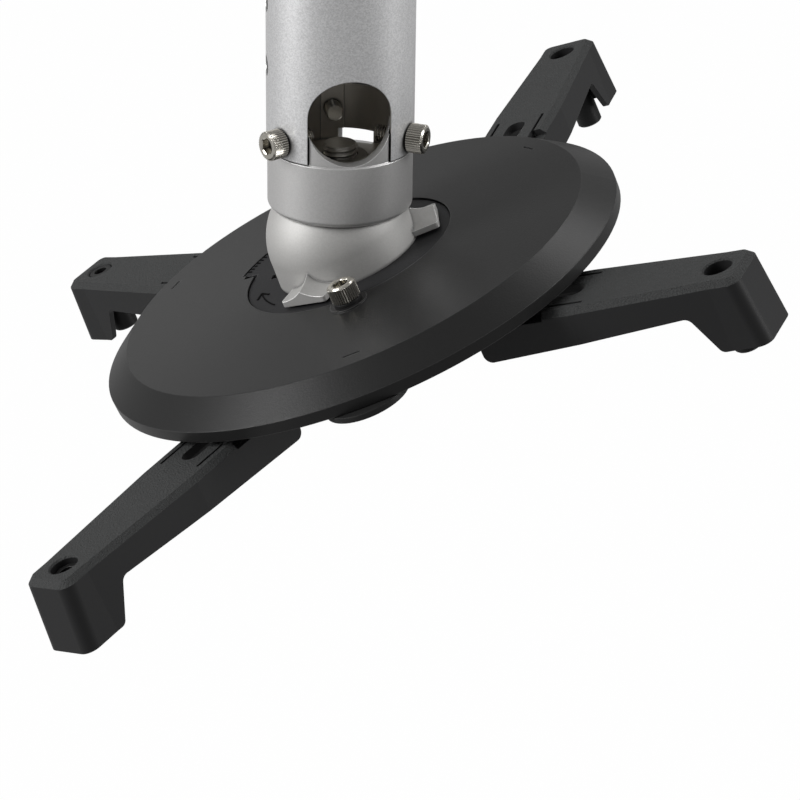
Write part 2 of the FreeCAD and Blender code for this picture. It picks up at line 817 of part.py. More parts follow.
def arm_shell(root):
    body = arm_side(arm_half_width + 1, root)
    body = body.common(arm_plan(0, -arm_end - arm_end_flare - 1, root + 1,
                                -arm_leg_depth - 1, 1)).removeSplitter()
    corners = edges_near(body, lambda c, b: c.x < -arm_end and b.ZLength > arm_leg_depth - 1)
    body = body.makeFillet(arm_corner_round, corners)
    body = body.makeFillet(arm_leg_round, cross_edge(body, arm_leg_top[0], -arm_leg_top[1]))
    body = body.makeFillet(arm_foot_round, cross_edge(body, arm_leg_foot, -arm_leg_depth))
    body = body.makeFillet(arm_root_round, cross_edge(body, root, -arm_root_depth))
    rim = edges_near(body, lambda c, b: abs(b.ZMin) < 1e-4 and abs(b.ZMax) < 1e-4
                     and c.x < root - 0.1)
    return body.makeChamfer(arm_chamfer, rim)


def arm_hollow(root):
    # Open below and towards the hub. The roof is thicker outside the tongue.
    inner_end = arm_end - arm_wall
    room = arm_plan(-arm_wall, -inner_end, root + 1, -arm_leg_depth - 1, -arm_shoulder_depth)
    middle = block(-inner_end, root + 1, -arm_slit_offset, arm_slit_offset,
                   -arm_leg_depth - 1, -arm_top_wall)
    return room.fuse(middle)


def slot_block(start, end, half_width, bottom, top):
    # A block along the arm with round ends centred on start and end.
    body = block(start, end, -half_width, half_width, bottom, top)
    body = body.fuse(cylinder(half_width, bottom, top, start, 0))
    return body.fuse(cylinder(half_width, bottom, top, end, 0))


def arm(name):
    stretch = arm_stretch[name]
    root = arm_root_distance + stretch
    rail_end = arm_rail_end + stretch
    slot_end = arm_slot_end + stretch
    body = arm_shell(root)
    for side in (-1, 1):
        slit = block(arm_slit_start + stretch, rail_end, side * arm_slit_offset - arm_slit_width / 2,
                     side * arm_slit_offset + arm_slit_width / 2, -arm_slit_depth, 1)
        edge = side * (arm_slit_offset - arm_slit_width / 2)
        step = block(rail_end, root + 1, min(edge, 2 * side * arm_half_width),
                     max(edge, 2 * side * arm_half_width), -arm_step_depth, 1)
        body = body.cut(slit).cut(step)
    body = body.cut(arm_hollow(root))
    body = body.fuse(slot_block(root - 2, slot_end, arm_tongue_half_width, -arm_top_wall, 0))
    body = body.fuse(cylinder(guide_radius, -guide_depth, -arm_top_wall / 2))
    body = body.cut(slot_block(arm_slot_start + stretch + arm_slot_half_width, slot_end,
                               arm_slot_half_width, -arm_top_wall - 1, 1))
    body = body.cut(cylinder(tip_hole_diameter / 2, -arm_leg_depth - 1, 1))
    sink = Part.makeCone(tip_hole_diameter / 2, tip_hole_diameter / 2 + tip_hole_chamfer,
                         tip_hole_chamfer, V(0, 0, -tip_hole_chamfer))
    return body.cut(sink).removeSplitter()


def spacer():
    radius = tip_hole_diameter / 2 - running_gap
    sleeve = cylinder(radius, -spacer_length, 0)
    ends = [e for e in sleeve.Edges if e.BoundBox.ZLength < 1e-6]
    sleeve = sleeve.makeChamfer(cap_edge, ends)
    return sleeve.cut(cylinder(spacer_bore_diameter / 2, -spacer_length - 1, 1))


def in_arm(shape, name):
    side, row, reach, azimuth = arm_poses[name]
    place = bolt_place(name)
    shape.rotate(V(0, 0, 0), UP, azimuth + 180)
    tip = polar(reach, azimuth)
    shape.translate(V(place.x + tip.x, place.y + tip.y, arm_top))
    return from_head(shape)


def arm_screw(name):
    seat = arm_top - arm_top_wall - running_gap - washer_thickness
    length = hub_top + nut_height + 1 - seat
    screw = aimed(cap_screw(length), bolt_place(name) + V(0, 0, seat), V(0, 0, -1))
    return from_head(screw)


def arm_washer(name):
    ring = washer(arm_washer_radius, cap_thread_diameter + 2 * running_gap, washer_thickness)
    ring.translate(bolt_place(name) + V(0, 0, arm_top - arm_top_wall - running_gap - washer_thickness))
    return from_head(ring)


save("ceiling_plate", from_ball(ceiling_plate()))
save("plate_screws", from_ball(plate_screws()))
save("inner_pole", from_ball(inner_pole()))
save("outer_pole", from_ball(outer_pole()))
save("height_bolt", from_ball(height_bolt()))
save("height_washers", from_ball(height_washers()))
save("height_nut", from_ball(height_nut()))
save("collar", from_ball(collar()))
save("collar_screws", from_ball(collar_screws()))
save("clamp_bolt", from_ball(clamp_bolt()))
save("clamp_ring", from_ball(clamp_ring()))
save("clamp_cup", from_ball(clamp_cup()))
save("clamp_nut", from_ball(clamp_nut()))
save("friction_liner", from_head(friction_liner()))
save("dome", from_head(dome()))
save("bayonet_ring", from_head(bayonet_ring()))
save("disc_cover", from_head(disc_cover()))
save("lock_washer", from_head(lock_washer()))
save("lock_screw", from_head(lock_screw()))
save("hub_plate", from_head(hub_plate()))
save("hub_screws", from_head(hub_screws()))
save("hub_nuts", from_head(hub_nuts()))
for name in arm_poses:
    save("arm_screw_" + name, arm_screw(name))
    save("arm_washer_" + name, arm_washer(name))
    save("arm_" + name, in_arm(arm(name), name))
    sleeve = spacer()
    sleeve.translate(V(0, 0, -spacer_drop[name]))
    save("spacer_" + name, in_arm(sleeve, name))
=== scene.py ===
# %% [markdown]
# # A projector ceiling mount, dressed for the camera
#
# The solids of this mount come from its construction model. This lesson gives them their finish:
# metallic paint, satin castings, grained black mouldings and nickel screws. It also builds the small
# repeated forms, such as knurls and threads, with Geometry Nodes.
#
# The first cell loads the solids. Each one keeps its place, so nothing here moves or resizes a part.

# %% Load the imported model
import json
import math

import bmesh
import bpy
from mathutils import Matrix, Vector


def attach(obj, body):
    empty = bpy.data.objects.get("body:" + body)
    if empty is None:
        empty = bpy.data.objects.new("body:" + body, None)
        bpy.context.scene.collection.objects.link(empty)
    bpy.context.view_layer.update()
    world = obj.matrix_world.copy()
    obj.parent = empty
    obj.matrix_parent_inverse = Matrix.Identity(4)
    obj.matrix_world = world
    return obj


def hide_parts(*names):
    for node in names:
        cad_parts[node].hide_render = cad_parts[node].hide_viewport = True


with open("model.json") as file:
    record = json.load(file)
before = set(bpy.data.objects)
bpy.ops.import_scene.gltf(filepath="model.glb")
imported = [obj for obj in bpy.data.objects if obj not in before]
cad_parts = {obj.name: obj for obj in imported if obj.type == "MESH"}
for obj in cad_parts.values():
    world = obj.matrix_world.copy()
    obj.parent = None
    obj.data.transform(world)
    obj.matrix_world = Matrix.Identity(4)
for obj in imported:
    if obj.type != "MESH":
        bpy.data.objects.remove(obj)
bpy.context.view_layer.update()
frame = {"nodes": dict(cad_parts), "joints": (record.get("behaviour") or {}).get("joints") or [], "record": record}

joints = {joint["name"]: joint for joint in frame["joints"]}
ball = Vector(joints["tilt"]["pos_m"])
head_axis = Vector(joints["spin"]["axis"])
head_across = Vector((0, 1, 0))
head_right = head_across.cross(head_axis)
mm = 0.001
print("nodes", len(frame["nodes"]), "ball centre", [round(v, 4) for v in ball])

# %% [markdown]
# ## Light and camera
#
# The mount hangs in front of plain white. A pale floor lies far below it, and the world and the floor
# are white where the camera sees them. In a reflection they are only a share as bright, and where
# they light the mount they are dimmer still, so that the lamps can model its forms. Four large soft
# lamps do that: the key high on the left, a weaker one on the right, one above that lights the disc's
# sloped edge, and a faint one behind that gives the disc its sheen.

# %% World, floor and lamps
scene = bpy.context.scene
scene.view_settings.view_transform = "Standard"


def new_material(name):
    material = bpy.data.materials.new(name)
    material.use_nodes = True
    material.node_tree.nodes.clear()
    return material


def node(tree, kind, **values):
    made = tree.nodes.new(kind)
    for key, value in values.items():
        setattr(made, key, value)
    return made


def feed(tree, socket, value):
    # A socket takes either another socket's value or a plain one.
    if isinstance(value, bpy.types.NodeSocket):
        tree.links.new(value, socket)
    else:
        socket.default_value = value


def seen_directly(tree, share, mirror_share):
    # The share where the camera or glass sees it, less of it in mirrors, and 0 where it lights things.
    path = node(tree, "ShaderNodeLightPath")
    glossy = node(tree, "ShaderNodeMath", operation="MULTIPLY")
    glossy.inputs[1].default_value = mirror_share
    tree.links.new(path.outputs["Is Glossy Ray"], glossy.inputs[0])
    mirrored = node(tree, "ShaderNodeMath", operation="MAXIMUM")
    tree.links.new(glossy.outputs[0], mirrored.inputs[0])
    tree.links.new(path.outputs["Is Transmission Ray"], mirrored.inputs[1])
    seen = node(tree, "ShaderNodeMath", operation="MAXIMUM")
    tree.links.new(path.outputs["Is Camera Ray"], seen.inputs[0])
    tree.links.new(mirrored.outputs[0], seen.inputs[1])
    part = node(tree, "ShaderNodeMath", operation="MULTIPLY")
    part.inputs[1].default_value = share
    tree.links.new(seen.outputs[0], part.inputs[0])
    return part.outputs[0]


def make_world(light_strength, mirror_share):
    world = bpy.data.worlds.new("studio")
    world.use_nodes = True
    tree = world.node_tree
    tree.nodes.clear()
    seen = seen_directly(tree, 1.0, mirror_share)
    light = node(tree, "ShaderNodeBackground")
    light.inputs["Color"].default_value = (1, 1, 1, 1)
    light.inputs["Strength"].default_value = light_strength
    white = node(tree, "ShaderNodeBackground")
    white.inputs["Color"].default_value = (1, 1, 1, 1)
    mix = node(tree, "ShaderNodeMixShader")
    out = node(tree, "ShaderNodeOutputWorld")
    tree.links.new(seen, mix.inputs["Fac"])
    tree.links.new(light.outputs[0], mix.inputs[1])
    tree.links.new(white.outputs[0], mix.inputs[2])
    tree.links.new(mix.outputs[0], out.inputs["Surface"])
    return world


def make_floor(level, half_size, mirror_share):
    mesh = bpy.data.meshes.new("floor")
    corners = [(-half_size, -half_size, level), (half_size, -half_size, level),
               (half_size, half_size, level), (-half_size, half_size, level)]
    mesh.from_pydata(corners, [], [(0, 1, 2, 3)])
    floor = bpy.data.objects.new("floor", mesh)
    scene.collection.objects.link(floor)
    material = new_material("pale_floor")
    tree = material.node_tree
    surface = node(tree, "ShaderNodeBsdfPrincipled")
    surface.inputs["Base Color"].default_value = (0.9, 0.9, 0.9, 1)
    surface.inputs["Roughness"].default_value = 0.9
    white = node(tree, "ShaderNodeEmission")
    white.inputs["Strength"].default_value = 1.0
    out = node(tree, "ShaderNodeOutputMaterial")
    mix = node(tree, "ShaderNodeMixShader")
    tree.links.new(seen_directly(tree, floor_white, mirror_share), mix.inputs["Fac"])
    tree.links.new(surface.outputs[0], mix.inputs[1])
    tree.links.new(white.outputs[0], mix.inputs[2])
    tree.links.new(mix.outputs[0], out.inputs["Surface"])
    mesh.materials.append(material)


def softbox(name, offset, width, height, power):
    # A lamp at an offset from the ball joint, turned towards it.
    data = bpy.data.lights.new(name, "AREA")
    data.shape = "RECTANGLE"
    data.size = width
    data.size_y = height
    data.energy = power
    lamp = bpy.data.objects.new(name, data)
    scene.collection.objects.link(lamp)
    lamp.location = ball + Vector(offset)
    lamp.visible_camera = False
    lamp.rotation_euler = (-Vector(offset)).to_track_quat("-Z", "Y").to_euler()


floor_white = 0.99
scene.world = make_world(light_strength=0.24, mirror_share=0.2)
make_floor(level=-1.6, half_size=6.0, mirror_share=0.3)
softbox("key", offset=(-1.2, -0.3, 0.5), width=0.5, height=1.0, power=19.0)
softbox("side", offset=(1.2, -0.2, 0.5), width=0.4, height=0.9, power=10.5)
softbox("back", offset=(-0.7, 1.3, 0.4), width=0.5, height=0.5, power=0.45)
softbox("top", offset=(0.4, 0.7, 1.15), width=0.5, height=0.5, power=4.5)

# %% [markdown]
# The camera stands about 1.1 m from the ball joint and looks down by 25 degrees. Its long lens keeps
# the round disc from looking stretched. Its right and its up are given as vectors, because it is also
# rolled by a fraction of a degree, which two vectors say more simply than three angles do.

# %% Camera
camera_offset = Vector((0, -1.054455, 0.436629))
camera_right = Vector((0.9998, -0.0142, 0.0130))
camera_up = Vector((-0.0057, 0.4277, 0.9039))
sensor_width = 36.0
focal_length = 149.92


def make_camera():
    data = bpy.data.cameras.new("camera")
    data.sensor_width = sensor_width
    data.lens = focal_length
    camera = bpy.data.objects.new("camera", data)
    scene.collection.objects.link(camera)
    right = camera_right.normalized()
    back = right.cross(camera_up).normalized()
    up = back.cross(right)
    turn = Matrix((right, up, back)).transposed().to_4x4()
    camera.matrix_world = Matrix.Translation(ball + camera_offset) @ turn
    scene.camera = camera
    return camera


print("lens", make_camera().data.lens)

# %% [markdown]
# ## Shared effects
#
# Four effects turn up in the finishes below, so each is a node group with named inputs. **Moulded
# grain** is the fine leather-like texture of a moulded surface. **Paint sparkle** is the metal flake in
# a silver paint. **Soft edge** rounds the normals at sharp edges by a fraction of a millimetre, as
# every real edge is rounded, and puts out a mask of those edges, which the finishes lighten for wear
# and as a painted highlight. **Crevice shade** is a mask of grooves and corners, which the finishes
# darken as painted shade.

# %% Node groups for grain, sparkle, edges and crevices


def new_group(name, inputs, outputs):
    group = bpy.data.node_groups.new(name, "ShaderNodeTree")
    for label, kind, value in inputs:
        socket = group.interface.new_socket(label, in_out="INPUT", socket_type=kind)
        socket.default_value = value
    for label, kind in outputs:
        group.interface.new_socket(label, in_out="OUTPUT", socket_type=kind)
    return group, node(group, "NodeGroupInput"), node(group, "NodeGroupOutput")


def grain_group():
    group, given, result = new_group(
        "moulded_grain",
        [("Scale", "NodeSocketFloat", 2200.0), ("Depth", "NodeSocketFloat", 0.4)],
        [("Height", "NodeSocketFloat"), ("Tone", "NodeSocketFloat")])
    place = node(group, "ShaderNodeTexCoord")
    fine = node(group, "ShaderNodeTexNoise")
    fine.inputs["Detail"].default_value = 3.0
    fine.inputs["Roughness"].default_value = 0.6
    pits = node(group, "ShaderNodeTexVoronoi", feature="SMOOTH_F1")
    pit_scale = node(group, "ShaderNodeMath", operation="MULTIPLY")
    pit_scale.inputs[1].default_value = 0.6
    both = node(group, "ShaderNodeMath", operation="ADD")
    deep = node(group, "ShaderNodeMath", operation="MULTIPLY")
    links = group.links
    links.new(place.outputs["Object"], fine.inputs["Vector"])
    links.new(place.outputs["Object"], pits.inputs["Vector"])
    links.new(given.outputs["Scale"], fine.inputs["Scale"])
    links.new(given.outputs["Scale"], pit_scale.inputs[0])
    links.new(pit_scale.outputs[0], pits.inputs["Scale"])
    links.new(fine.outputs["Fac"], both.inputs[0])
    links.new(pits.outputs["Distance"], both.inputs[1])
    links.new(both.outputs[0], deep.inputs[0])
    links.new(given.outputs["Depth"], deep.inputs[1])
    links.new(deep.outputs[0], result.inputs["Height"])
    links.new(fine.outputs["Fac"], result.inputs["Tone"])
    return group


def sparkle_group():
    group, given, result = new_group(
        "paint_sparkle",
        [("Scale", "NodeSocketFloat", 2600.0), ("Amount", "NodeSocketFloat", 0.25)],
        [("Glint", "NodeSocketFloat"), ("Height", "NodeSocketFloat")])
    place = node(group, "ShaderNodeTexCoord")
    flakes = node(group, "ShaderNodeTexVoronoi", feature="F1")
    cloud = node(group, "ShaderNodeTexNoise")
    cloud.inputs["Detail"].default_value = 4.0
    channel = node(group, "ShaderNodeSeparateColor")
    centred = node(group, "ShaderNodeMath", operation="SUBTRACT")
    centred.inputs[1].default_value = 0.5
    amount = node(group, "ShaderNodeMath", operation="MULTIPLY")
    links = group.links
    links.new(place.outputs["Object"], flakes.inputs["Vector"])
    links.new(place.outputs["Object"], cloud.inputs["Vector"])
    links.new(given.outputs["Scale"], flakes.inputs["Scale"])
    links.new(given.outputs["Scale"], cloud.inputs["Scale"])
    links.new(flakes.outputs["Color"], channel.inputs["Color"])
    links.new(channel.outputs[0], centred.inputs[0])
    links.new(centred.outputs[0], amount.inputs[0])
    links.new(given.outputs["Amount"], amount.inputs[1])
    links.new(amount.outputs[0], result.inputs["Glint"])
    links.new(cloud.outputs["Fac"], result.inputs["Height"])
    return group


def edge_group():
    group, given, result = new_group(
        "soft_edge",
        [("Radius", "NodeSocketFloat", 0.3 * mm), ("Spread", "NodeSocketFloat", 6.0)],
        [("Normal", "NodeSocketVector"), ("Edge", "NodeSocketFloat")])
    rounded = node(group, "ShaderNodeBevel", samples=6)
    surface = node(group, "ShaderNodeNewGeometry")
    facing = node(group, "ShaderNodeVectorMath", operation="DOT_PRODUCT")
    away = node(group, "ShaderNodeMath", operation="SUBTRACT")
    away.inputs[0].default_value = 1.0
    spread = node(group, "ShaderNodeMath", operation="MULTIPLY", use_clamp=True)
    links = group.links
    links.new(given.outputs["Radius"], rounded.inputs["Radius"])
    links.new(rounded.outputs[0], facing.inputs[0])
    links.new(surface.outputs["Normal"], facing.inputs[1])
    links.new(facing.outputs["Value"], away.inputs[1])
    links.new(away.outputs[0], spread.inputs[0])
    links.new(given.outputs["Spread"], spread.inputs[1])
    links.new(rounded.outputs[0], result.inputs["Normal"])
    links.new(spread.outputs[0], result.inputs["Edge"])
    return group


def crevice_shade_group():
    group, given, result = new_group(
        "crevice_shade",
        [("Reach", "NodeSocketFloat", 0.8 * mm), ("Strength", "NodeSocketFloat", 1.0)],
        [("Mask", "NodeSocketFloat")])
    # Where the surface is closed in, the finishes paint shade; this mask says where.
    open_sky = node(group, "ShaderNodeAmbientOcclusion", samples=8)
    closed = node(group, "ShaderNodeMath", operation="SUBTRACT")
    closed.inputs[0].default_value = 1.0
    depth = node(group, "ShaderNodeMath", operation="MULTIPLY", use_clamp=True)
    links = group.links
    links.new(given.outputs["Reach"], open_sky.inputs["Distance"])
    links.new(open_sky.outputs["AO"], closed.inputs[1])
    links.new(closed.outputs[0], depth.inputs[0])
    links.new(given.outputs["Strength"], depth.inputs[1])
    links.new(depth.outputs[0], result.inputs["Mask"])
    return group


grain = grain_group()
sparkle = sparkle_group()
soft_edge = edge_group()
crevice_shade = crevice_shade_group()
print("groups", [g.name for g in (grain, sparkle, soft_edge, crevice_shade)])

# %% [markdown]
# ## Finishes
#
# Every finish is a Principled surface whose colour, roughness and normal vary a little, as a real one
# does. A small helper wires an effect into a surface, so each finish below reads as a short recipe.

# %% Helpers for a finish


def surface_material(name, color, roughness, metallic=0.0, specular=0.5):
    material = new_material(name)
    tree = material.node_tree
    surface = node(tree, "ShaderNodeBsdfPrincipled")
    surface.inputs["Base Color"].default_value = (*color, 1)
    surface.inputs["Roughness"].default_value = roughness
    surface.inputs["Metallic"].default_value = metallic
    surface.inputs["Specular IOR Level"].default_value = specular
    out = node(tree, "ShaderNodeOutputMaterial")
    tree.links.new(surface.outputs[0], out.inputs["Surface"])
    return material, tree, surface


def effect(tree, group, **values):
    placed = node(tree, "ShaderNodeGroup", node_tree=group)
    for label, value in values.items():
        placed.inputs[label].default_value = value
    return placed


def bump(tree, height, normal, strength, distance):
    made = node(tree, "ShaderNodeBump")
    made.inputs["Strength"].default_value = strength
    made.inputs["Distance"].default_value = distance
    tree.links.new(height, made.inputs["Height"])
    tree.links.new(normal, made.inputs["Normal"])
    return made.outputs["Normal"]


def vary(tree, value, low, high):
    # Maps a 0 to 1 value onto low to high.
    ramp = node(tree, "ShaderNodeMapRange")
    ramp.inputs["To Min"].default_value = low
    ramp.inputs["To Max"].default_value = high
    tree.links.new(value, ramp.inputs["Value"])
    return ramp.outputs["Result"]


def shade_of(color, share):
    return tuple(min(share * part, 1.0) for part in color)


def tint(tree, mask, plain, changed):
    # Turns a plain colour, or the colour of a socket, into the changed one where the mask is 1.
    mix = node(tree, "ShaderNodeMix", data_type="RGBA")
    feed(tree, mix.inputs["A"], (*plain, 1) if isinstance(plain, tuple) else plain)
    mix.inputs["B"].default_value = (*changed, 1)
    tree.links.new(mask, mix.inputs["Factor"])
    return mix.outputs["Result"]


print("helpers ready")

# %% [markdown]
# ** Silver paint** holds fine aluminium flake, which makes it shine softly and glint in places. The
# castings are a shade darker, with a smoother, satin face. One recipe makes all three, since only its
# numbers differ. The pole and the collar are bare inside, so a mask by the distance from the pole's
# axis changes their colour there, to a darker, warmer metal that also paints the shade inside.

# %% Silver finishes
shaded_bare_metal = (0.55, 0.52, 0.47)
worn_and_highlit_edge = (0.92, 0.92, 0.91)


def inside_mask(tree, radius):
    # 1 nearer to the pole's axis than radius, and 0 further out.
    place = node(tree, "ShaderNodeTexCoord")
    flat = node(tree, "ShaderNodeVectorMath", operation="MULTIPLY")
    flat.inputs[1].default_value = (1, 1, 0)
    reach = node(tree, "ShaderNodeVectorMath", operation="LENGTH")
    inside = node(tree, "ShaderNodeMapRange")
    inside.inputs["From Min"].default_value = radius
    inside.inputs["From Max"].default_value = radius - 0.1 * mm
    tree.links.new(place.outputs["Object"], flat.inputs[0])
    tree.links.new(flat.outputs[0], reach.inputs[0])
    tree.links.new(reach.outputs["Value"], inside.inputs["Value"])
    return inside.outputs["Result"]


def silver_paint(name, color, roughness, metallic, glints, texture, shade_inside_radius=None):
    # Shares of the paint's colour: in dull flakes, in bright flakes, and in the painted shade of gaps.
    dull, bright, painted_shade_share = 0.86, 1.14, 0.12
    material, tree, surface = surface_material(name, color, roughness, metallic)
    flake = effect(tree, sparkle, Scale=2400.0, Amount=glints)
    edges = effect(tree, soft_edge, Radius=0.4 * mm, Spread=5.0)
    gap_shade = effect(tree, crevice_shade, Reach=1.2 * mm, Strength=1.6)
    tone = node(tree, "ShaderNodeMath", operation="ADD", use_clamp=True)
    tone.inputs[1].default_value = 0.5
    tree.links.new(flake.outputs["Glint"], tone.inputs[0])
    paint = tint(tree, tone.outputs[0], shade_of(color, dull), shade_of(color, bright))
    if shade_inside_radius is not None:
        # Inside, the colour turns to bare metal, made darker to paint the shade in the tube.
        paint = tint(tree, inside_mask(tree, shade_inside_radius), paint, shaded_bare_metal)
    # Edges are lightened, for wear and as a painted highlight.
    paint = tint(tree, edges.outputs["Edge"], paint, worn_and_highlit_edge)
    # Gaps and corners are darkened: painted shade.
    paint = tint(tree, gap_shade.outputs["Mask"], paint, shade_of(color, painted_shade_share))
    tree.links.new(paint, surface.inputs["Base Color"])
    tree.links.new(vary(tree, flake.outputs["Height"], low=roughness - 0.05, high=roughness + 0.07),
                   surface.inputs["Roughness"])
    tree.links.new(bump(tree, flake.outputs["Height"], edges.outputs["Normal"], strength=texture,
                        distance=0.08 * mm), surface.inputs["Normal"])
    return material


pole_silver = silver_paint("pole_silver", (0.66, 0.66, 0.665), roughness=0.42, metallic=0.8,
                           glints=0.9, texture=0.35, shade_inside_radius=24.2 * mm)
collar_silver = silver_paint("collar_silver", (0.56, 0.555, 0.55), roughness=0.42, metallic=0.8,
                             glints=0.3, texture=0.14, shade_inside_radius=20.2 * mm)
dome_silver = silver_paint("dome_silver", (0.44, 0.435, 0.425), roughness=0.62, metallic=0.62,
                           glints=0.25, texture=0.12)
print("silver finishes made")

# %% [markdown]
# ** Black mouldings.** The disc, the ring and the sleeves are moulded with a fine, even skin, and their
# edges are lightened for wear and as a painted highlight. The arms have a coarser grain on their top
# faces, and plain sides. One material does both: a mask from the surface's direction, measured against
# the head's axis at rest, fades the grain out on the sides, and it also paints the top faces lighter and
# the sides darker, as painted light and shade. The sheet of the hub plate and the marks in the recess
# use the disc's recipe with hardly any lightening at the edges, and the marks are nearly black, which
# is painted shade.

# %% Black and charcoal finishes


def moulded_black(name, color, roughness, scale, depth, specular, edge_wear_and_highlight=0.07):
    # Sharp edges are lightened, for wear and as a painted highlight: they have the colour times a gain, with a
    # little more added.
    edge_gain = 1.6
    material, tree, surface = surface_material(name, color, roughness, specular=specular)
    skin = effect(tree, grain, Scale=scale, Depth=depth)
    edges = effect(tree, soft_edge, Radius=0.45 * mm, Spread=4.0)
    lit_worn_edge_color = tuple(edge_gain * part + edge_wear_and_highlight for part in color)
    tree.links.new(tint(tree, edges.outputs["Edge"], color, lit_worn_edge_color), surface.inputs["Base Color"])
    tree.links.new(vary(tree, skin.outputs["Tone"], low=roughness - 0.08, high=roughness + 0.1),
                   surface.inputs["Roughness"])
    tree.links.new(bump(tree, skin.outputs["Height"], edges.outputs["Normal"], strength=0.5,
                        distance=0.12 * mm), surface.inputs["Normal"])
    return material


def arm_black():
    # The top faces are painted lighter and the sides darker: painted light and shade.
    lit_top_color = (0.038, 0.039, 0.039)
    shaded_side_color = (0.018, 0.018, 0.0185)
    material, tree, surface = surface_material("arm_black", lit_top_color, 0.5, specular=0.16)
    skin = effect(tree, grain, Scale=2500.0, Depth=1.0)
    edges = effect(tree, soft_edge, Radius=0.4 * mm, Spread=4.0)
    geometry = node(tree, "ShaderNodeNewGeometry")
    facing = node(tree, "ShaderNodeVectorMath", operation="DOT_PRODUCT")
    facing.inputs[1].default_value = head_axis
    tree.links.new(geometry.outputs["Normal"], facing.inputs[0])
    lit_grained_top = node(tree, "ShaderNodeMapRange")
    lit_grained_top.inputs["From Min"].default_value = 0.35
    lit_grained_top.inputs["From Max"].default_value = 0.7
    tree.links.new(facing.outputs["Value"], lit_grained_top.inputs["Value"])
    height = node(tree, "ShaderNodeMath", operation="MULTIPLY")
    tree.links.new(skin.outputs["Height"], height.inputs[0])
    tree.links.new(lit_grained_top.outputs["Result"], height.inputs[1])
    tree.links.new(tint(tree, lit_grained_top.outputs["Result"], shaded_side_color, lit_top_color),
                   surface.inputs["Base Color"])
    tree.links.new(vary(tree, skin.outputs["Tone"], low=0.42, high=0.62), surface.inputs["Roughness"])
    tree.links.new(bump(tree, height.outputs[0], edges.outputs["Normal"], strength=0.9,
                        distance=0.35 * mm), surface.inputs["Normal"])
    return material


disc_charcoal = moulded_black("disc_charcoal", (0.013, 0.013, 0.013), roughness=0.36, scale=2600.0,
                              depth=0.35, specular=0.2)
ring_black = moulded_black("ring_black", (0.018, 0.018, 0.019), roughness=0.55, scale=2600.0,
                           depth=0.5, specular=0.15)
sleeve_black = moulded_black("sleeve_black", (0.010, 0.010, 0.010), roughness=0.45, scale=3000.0,
                             depth=0.2, specular=0.15)
sheet_black = moulded_black("sheet_black", (0.016, 0.016, 0.016), roughness=0.45, scale=3600.0,
                            depth=0.4, specular=0.15, edge_wear_and_highlight=0.01)
# The marks are coloured nearly black, which is painted shade along them.
shaded_mark_black = moulded_black("shaded_mark_black", (0.003, 0.003, 0.003), roughness=0.7, scale=3000.0,
                           depth=0.2, specular=0.05, edge_wear_and_highlight=0.0)
arm_finish = arm_black()
print("black finishes made")

# %% [markdown]
# ** Metals.** Nickel plate is nearly a mirror with a faint warmth, and zinc is duller and bluer. The
# clamp's stud is dull steel, and its crests are lightened as a painted highlight. In all of them the
# crevice shade mask darkens the grooves as painted shade, which makes a knurl or a thread easy to
# read, and the edges are lightened for wear and as a painted highlight. The liner of the ball joint is
# pale nylon, and its skin is a moulded one, so it uses that recipe.

# %% Metal finishes


def plated(name, color, roughness, edge_wear_and_highlight, metallic=1.0):
    painted_shade_share = 0.06
    material, tree, surface = surface_material(name, color, roughness, metallic)
    skin = effect(tree, grain, Scale=900.0, Depth=0.3)
    edges = effect(tree, soft_edge, Radius=0.1 * mm, Spread=3.0)
    groove_shade = effect(tree, crevice_shade, Reach=0.9 * mm, Strength=1.9)
    # Edges take a lighter colour, for wear and as a painted highlight.
    metal = tint(tree, edges.outputs["Edge"], color, edge_wear_and_highlight)
    # Grooves are darkened: painted shade.
    metal = tint(tree, groove_shade.outputs["Mask"], metal, shade_of(color, painted_shade_share))
    tree.links.new(metal, surface.inputs["Base Color"])
    tree.links.new(vary(tree, skin.outputs["Tone"], low=roughness - 0.06, high=roughness + 0.1),
                   surface.inputs["Roughness"])
    tree.links.new(bump(tree, skin.outputs["Height"], edges.outputs["Normal"], strength=0.15,
                        distance=0.03 * mm), surface.inputs["Normal"])
    return material


nickel = plated("nickel", (0.58, 0.555, 0.50), roughness=0.22, edge_wear_and_highlight=(0.85, 0.83, 0.78))
zinc = plated("zinc", (0.50, 0.51, 0.53), roughness=0.36, edge_wear_and_highlight=(0.7, 0.7, 0.7))
# The stud's bright crests and edges are a painted highlight.
dark_steel = plated("dark_steel", (0.55, 0.53, 0.49), roughness=0.34, edge_wear_and_highlight=(0.95, 0.93, 0.88),
                    metallic=0.7)
drawn_steel = plated("drawn_steel", (0.42, 0.42, 0.42), roughness=0.36, edge_wear_and_highlight=(0.6, 0.6, 0.6))
nylon = moulded_black("nylon", (0.6, 0.59, 0.55), roughness=0.5, scale=1500.0, depth=0.3,
                      specular=0.4)
print("metals made")

# %% [markdown]
# The finishes now go onto the construction's own solids, by slot, so their shapes stay untouched. The
# collar gets its own silver. The washer under the lock screw is made black, since no bright edge shows
# there on the real mount.

# %% Dress the solids
finishes = {
    "silver_paint": pole_silver, "casting": dome_silver, "steel_tube": drawn_steel,
    "nickel": nickel, "zinc": zinc, "black_steel": dark_steel, "nylon": nylon,
    "black_moulding": ring_black, "charcoal_moulding": disc_charcoal, "black_sheet": sheet_black,
    "black_arm": arm_finish, "black_sleeve": sleeve_black,
}
slots = {part["node"]: part["material_slot"] for part in frame["record"]["subparts"]}


def dress(piece, finish):
    piece.data.materials.clear()
    piece.data.materials.append(finish)


for part_name, part in frame["nodes"].items():
    dress(part, finishes[slots[part_name]])
dress(frame["nodes"]["collar"], collar_silver)
dress(frame["nodes"]["lock_washer"], sheet_black)
print("dressed", len(slots), "nodes")

